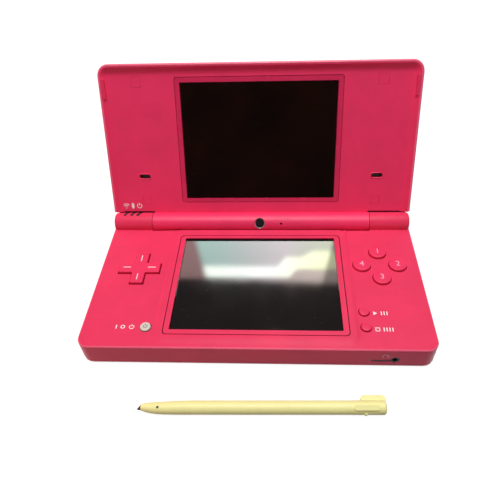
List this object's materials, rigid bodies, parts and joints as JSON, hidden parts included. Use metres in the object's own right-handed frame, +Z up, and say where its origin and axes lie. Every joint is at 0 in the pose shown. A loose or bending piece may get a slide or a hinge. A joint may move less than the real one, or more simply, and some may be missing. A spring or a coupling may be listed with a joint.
{
  "type": "handheld game console",
  "caption": "Clamshell handheld game console with two screens, shown open, with moving buttons, hinged lid and a loose stylus.",
  "frame": {"origin": "middle of the flat underside of the lower case, on the table that the console rests on", "axes": "+X along the console's width, to the right of the player; +Y from the player to the hinge; +Z up; the lid rests open at 113.5 degrees as in the picture"},
  "size_m": [0.1374, 0.1252, 0.0765],
  "materials": {
    "pink_shell": "smooth satin pink moulded plastic",
    "pink_key": "satin pink keys",
    "pink_border": "glossy pink frame round the upper screen",
    "pink_rubber": "pink rubber bumper",
    "screen_glass": "glossy black screen window",
    "touch_glass": "semi-gloss touch panel, dark below",
    "lcd_panel": "display panel in its tray",
    "dark_plastic": "dark moulded inner part",
    "grey_rubber": "silicone keypad",
    "green_board": "printed circuit board",
    "steel": "plated steel",
    "bright_ring": "bright trim ring",
    "white_key": "off-white translucent key",
    "smoke_lens": "smoked status light window",
    "battery_case": "battery can with a plain sleeve",
    "flex_amber": "rolled flexible circuit",
    "cream_plastic": "cream yellow moulded plastic"
  },
  "bodies": {
    "lower_case": {"lower_face_shell": "pink_shell", "bottom_cover": "pink_shell", "battery_cover": "pink_shell", "battery_cover_screw": "steel", "battery_pack": "battery_case", "main_board": "green_board", "lower_lcd_module": "lcd_panel", "touch_panel": "touch_glass", "touch_screen_bezel": "pink_shell", "dpad_membrane": "grey_rubber", "face_button_membrane": "grey_rubber", "start_select_membrane": "grey_rubber", "card_slot_socket": "dark_plastic", "sd_card_socket": "steel", "stylus_holder": "dark_plastic", "charging_socket": "dark_plastic", "headphone_jack": "dark_plastic", "hinge_clutch": "steel", "hinge_sleeve": "steel", "hinge_flex_cable": "flex_amber", "status_light_guide_1": "smoke_lens", "status_light_guide_2": "smoke_lens", "status_light_guide_3": "smoke_lens", "case_screw_1": "steel", "case_screw_2": "steel", "case_screw_3": "steel", "case_screw_4": "steel"},
    "lid": {"lid_inner_shell": "pink_shell", "lid_outer_shell": "pink_shell", "upper_screen_border": "pink_border", "upper_screen_glass": "screen_glass", "upper_lcd_module": "lcd_panel", "speaker_left": "dark_plastic", "speaker_right": "dark_plastic", "inner_camera_ring": "bright_ring", "inner_camera": "dark_plastic", "outer_camera": "dark_plastic", "microphone": "steel", "lid_bumper_left": "pink_rubber", "lid_bumper_right": "pink_rubber", "lid_screw_plug_1": "pink_shell", "lid_screw_plug_2": "pink_shell", "lid_screw_plug_3": "pink_shell", "lid_screw_plug_4": "pink_shell"},
    "dpad_gimbal": {"dpad_pivot": "grey_rubber"},
    "dpad": {"dpad": "pink_key"},
    "face_button_1": {"face_button_1": "pink_key"},
    "face_button_2": {"face_button_2": "pink_key"},
    "face_button_3": {"face_button_3": "pink_key"},
    "face_button_4": {"face_button_4": "pink_key"},
    "start_button": {"start_button": "pink_key"},
    "select_button": {"select_button": "pink_key"},
    "power_button": {"power_button": "white_key"},
    "volume_up_button": {"volume_up_button": "pink_key"},
    "volume_down_button": {"volume_down_button": "pink_key"},
    "shoulder_button_left": {"shoulder_button_left": "pink_key"},
    "shoulder_button_right": {"shoulder_button_right": "pink_key"},
    "sd_cover": {"sd_cover": "pink_shell"},
    "stylus": {"stylus_barrel": "cream_plastic", "stylus_tip": "dark_plastic"}
  },
  "joints": [
    {"name": "lid_hinge", "type": "hinge", "parent": "lower_case", "child": "lid", "pos_m": [0, 0.0328, 0.0125], "axis": [1, 0, 0], "range_deg": [-42, 113.5]},
    {"name": "dpad_tilt_up_down", "type": "hinge", "parent": "lower_case", "child": "dpad_gimbal", "pos_m": [-0.05135, 0.00335, 0.0087], "axis": [1, 0, 0], "range_deg": [-3, 3], "stiffness_Nm_per_rad": 0.13},
    {"name": "dpad_tilt_left_right", "type": "hinge", "parent": "dpad_gimbal", "child": "dpad", "pos_m": [-0.05135, 0.00335, 0.0087], "axis": [0, 1, 0], "range_deg": [-3, 3], "stiffness_Nm_per_rad": 0.13},
    {"name": "face_button_1_press", "type": "slide", "parent": "lower_case", "child": "face_button_1", "axis": [0, 0, 1], "range_m": [-0.0008, 0], "stiffness_N_per_m": 1200},
    {"name": "face_button_2_press", "type": "slide", "parent": "lower_case", "child": "face_button_2", "axis": [0, 0, 1], "range_m": [-0.0008, 0], "stiffness_N_per_m": 1200},
    {"name": "face_button_3_press", "type": "slide", "parent": "lower_case", "child": "face_button_3", "axis": [0, 0, 1], "range_m": [-0.0008, 0], "stiffness_N_per_m": 1200},
    {"name": "face_button_4_press", "type": "slide", "parent": "lower_case", "child": "face_button_4", "axis": [0, 0, 1], "range_m": [-0.0008, 0], "stiffness_N_per_m": 1200},
    {"name": "start_button_press", "type": "slide", "parent": "lower_case", "child": "start_button", "axis": [0, 0, 1], "range_m": [-0.0006, 0], "stiffness_N_per_m": 1500},
    {"name": "select_button_press", "type": "slide", "parent": "lower_case", "child": "select_button", "axis": [0, 0, 1], "range_m": [-0.0006, 0], "stiffness_N_per_m": 1500},
    {"name": "power_button_press", "type": "slide", "parent": "lower_case", "child": "power_button", "axis": [0, 0, 1], "range_m": [-0.0006, 0], "stiffness_N_per_m": 1500},
    {"name": "volume_up_press", "type": "slide", "parent": "lower_case", "child": "volume_up_button", "axis": [1, 0, 0], "range_m": [0, 0.0004], "stiffness_N_per_m": 2000},
    {"name": "volume_down_press", "type": "slide", "parent": "lower_case", "child": "volume_down_button", "axis": [1, 0, 0], "range_m": [0, 0.0004], "stiffness_N_per_m": 2000},
    {"name": "shoulder_left_press", "type": "hinge", "parent": "lower_case", "child": "shoulder_button_left", "pos_m": [-0.0537, 0.0337, 0.0054], "axis": [0, 0, 1], "range_deg": [0, 3.5], "stiffness_Nm_per_rad": 0.2},
    {"name": "shoulder_right_press", "type": "hinge", "parent": "lower_case", "child": "shoulder_button_right", "pos_m": [0.0537, 0.0337, 0.0054], "axis": [0, 0, 1], "range_deg": [-3.5, 0], "stiffness_Nm_per_rad": 0.2},
    {"name": "sd_cover_hinge", "type": "hinge", "parent": "lower_case", "child": "sd_cover", "pos_m": [0.06795, 0.0282, 0.00465], "axis": [0, 0, 1], "range_deg": [0, 95]},
    {"name": "stylus_lift", "type": "slide", "parent": "lower_case", "child": "stylus", "axis": [0, 0, 1], "range_m": [0, 0.04]}
  ]
}
